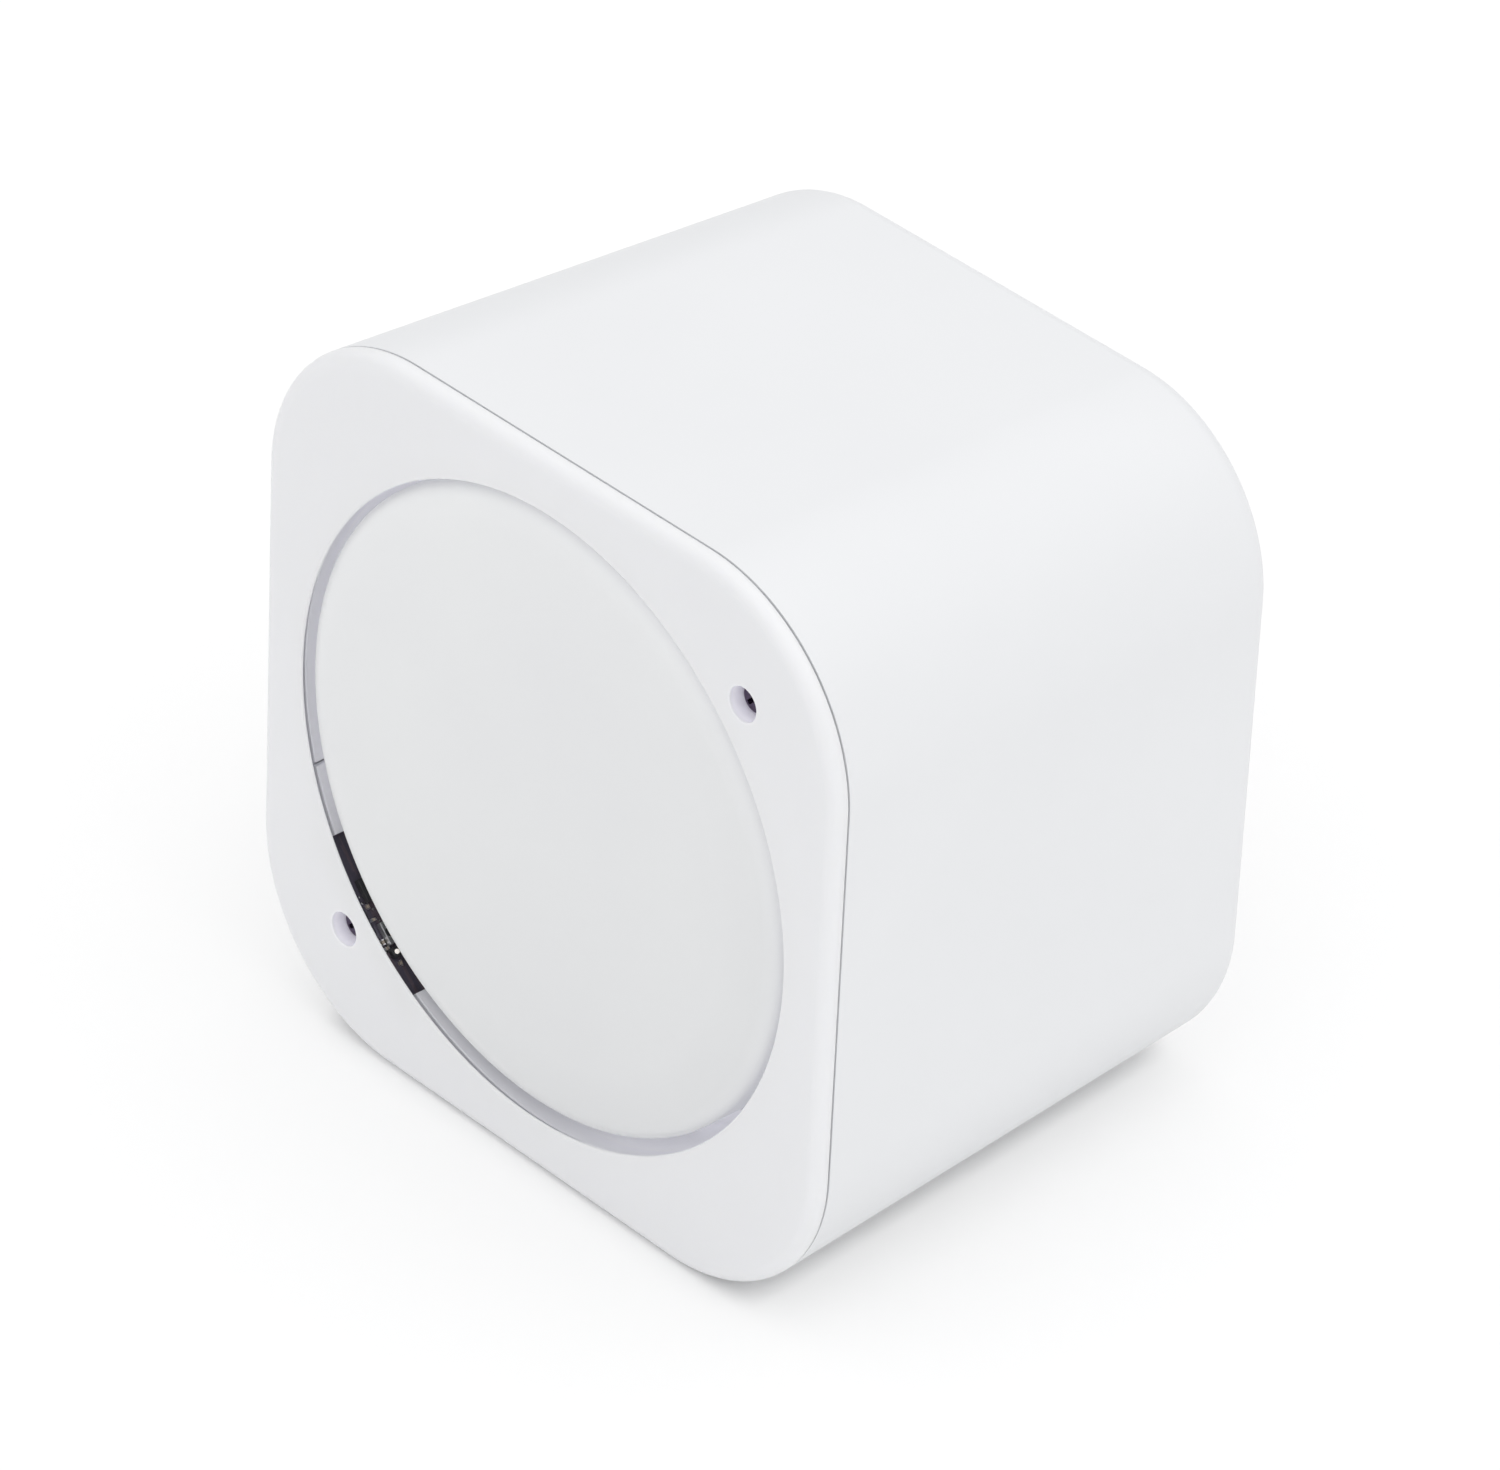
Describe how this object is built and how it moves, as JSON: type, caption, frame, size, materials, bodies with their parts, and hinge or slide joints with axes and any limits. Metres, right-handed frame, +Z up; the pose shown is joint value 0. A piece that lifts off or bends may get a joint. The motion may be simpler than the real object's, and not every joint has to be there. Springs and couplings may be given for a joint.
{
  "type": "smart home hub",
  "caption": "Desk-standing rounded cube hub: screwed front bezel, round disc in an open air ring, sensor slot, rear sockets, push button and a small internal fan.",
  "frame": {"origin": "middle of the bounding box at the level of the flat underside that the hub stands on", "axes": "+Z up, front face towards -Y and leaning back with the housing's draft, +X to the right seen from the front"},
  "size_m": [0.0798, 0.063, 0.0798],
  "materials": {
    "housing_white": "satin white moulded plastic, very fine texture",
    "bezel_white": "satin white moulded plastic",
    "disc_white": "satin translucent white plastic",
    "ring_grey": "light grey moulded plastic",
    "dark_plastic": "black moulded plastic",
    "white_nylon": "natural white plastic",
    "clear_acrylic": "frosted clear plastic",
    "dark_board": "black solder mask",
    "green_board": "green solder mask",
    "dark_steel": "black zinc plated steel",
    "bright_steel": "bright zinc plated steel",
    "tin": "tinned steel can",
    "brass": "plated brass",
    "copper": "copper foil and winding",
    "aluminium": "bare extruded aluminium",
    "grey_pad": "soft silicone pad",
    "cable_grey": "cable jacket",
    "magnet": "bonded ferrite magnet"
  },
  "bodies": {
    "hub": {"air_sensor_board": "dark_board", "antenna_cable_left": "dark_plastic", "antenna_cable_right": "dark_plastic", "antenna_left": "copper", "antenna_right": "copper", "bezel_screw_1": "dark_steel", "bezel_screw_2": "dark_steel", "board_screw_1": "bright_steel", "board_screw_2": "bright_steel", "board_screw_3": "bright_steel", "board_screw_4": "bright_steel", "buzzer": "dark_plastic", "carrier_screw_1": "bright_steel", "carrier_screw_2": "bright_steel", "carrier_screw_3": "bright_steel", "chassis": "dark_plastic", "chassis_screw_1": "bright_steel", "chassis_screw_2": "bright_steel", "disc_carrier": "ring_grey", "ethernet_contacts": "brass", "ethernet_jack": "dark_plastic", "fan_bearing": "brass", "fan_cable": "dark_plastic", "fan_frame": "dark_plastic", "fan_screw_1": "bright_steel", "fan_screw_2": "bright_steel", "fan_stator": "copper", "front_bezel": "bezel_white", "front_disc": "disc_white", "gas_sensor": "tin", "heat_sink": "aluminium", "housing_shell": "housing_white", "humidity_sensor": "dark_plastic", "inner_ring": "ring_grey", "led_1": "white_nylon", "led_2": "white_nylon", "led_3": "white_nylon", "led_4": "white_nylon", "led_5": "white_nylon", "led_6": "white_nylon", "led_board": "green_board", "led_cable": "cable_grey", "led_header": "white_nylon", "light_guide": "clear_acrylic", "light_sensor": "clear_acrylic", "main_board": "green_board", "main_header": "white_nylon", "pair_switch": "dark_plastic", "power_jack": "dark_plastic", "power_pin": "brass", "processor": "dark_plastic", "radio_module": "tin", "reset_switch": "dark_plastic", "sensor_cable": "cable_grey", "thermal_pad": "grey_pad"},
    "fan_rotor": {"fan_rotor": "dark_plastic", "fan_magnet": "magnet"},
    "pair_button": {"pair_button": "housing_white", "pair_plunger": "white_nylon"},
    "reset_plunger": {"reset_plunger": "white_nylon"}
  },
  "joints": [
    {"name": "fan_spin", "type": "hinge", "parent": "hub", "child": "fan_rotor", "pos_m": [0, -0.01266, 0.04915], "axis": [0, -0.9989, 0.0478], "continuous": true},
    {"name": "pair_press", "type": "slide", "parent": "hub", "child": "pair_button", "axis": [0, -0.9989, 0.0478], "range_m": [0, 0.0005]},
    {"name": "reset_press", "type": "slide", "parent": "hub", "child": "reset_plunger", "axis": [0, -0.9989, 0.0478], "range_m": [0, 0.0003]}
  ]
}
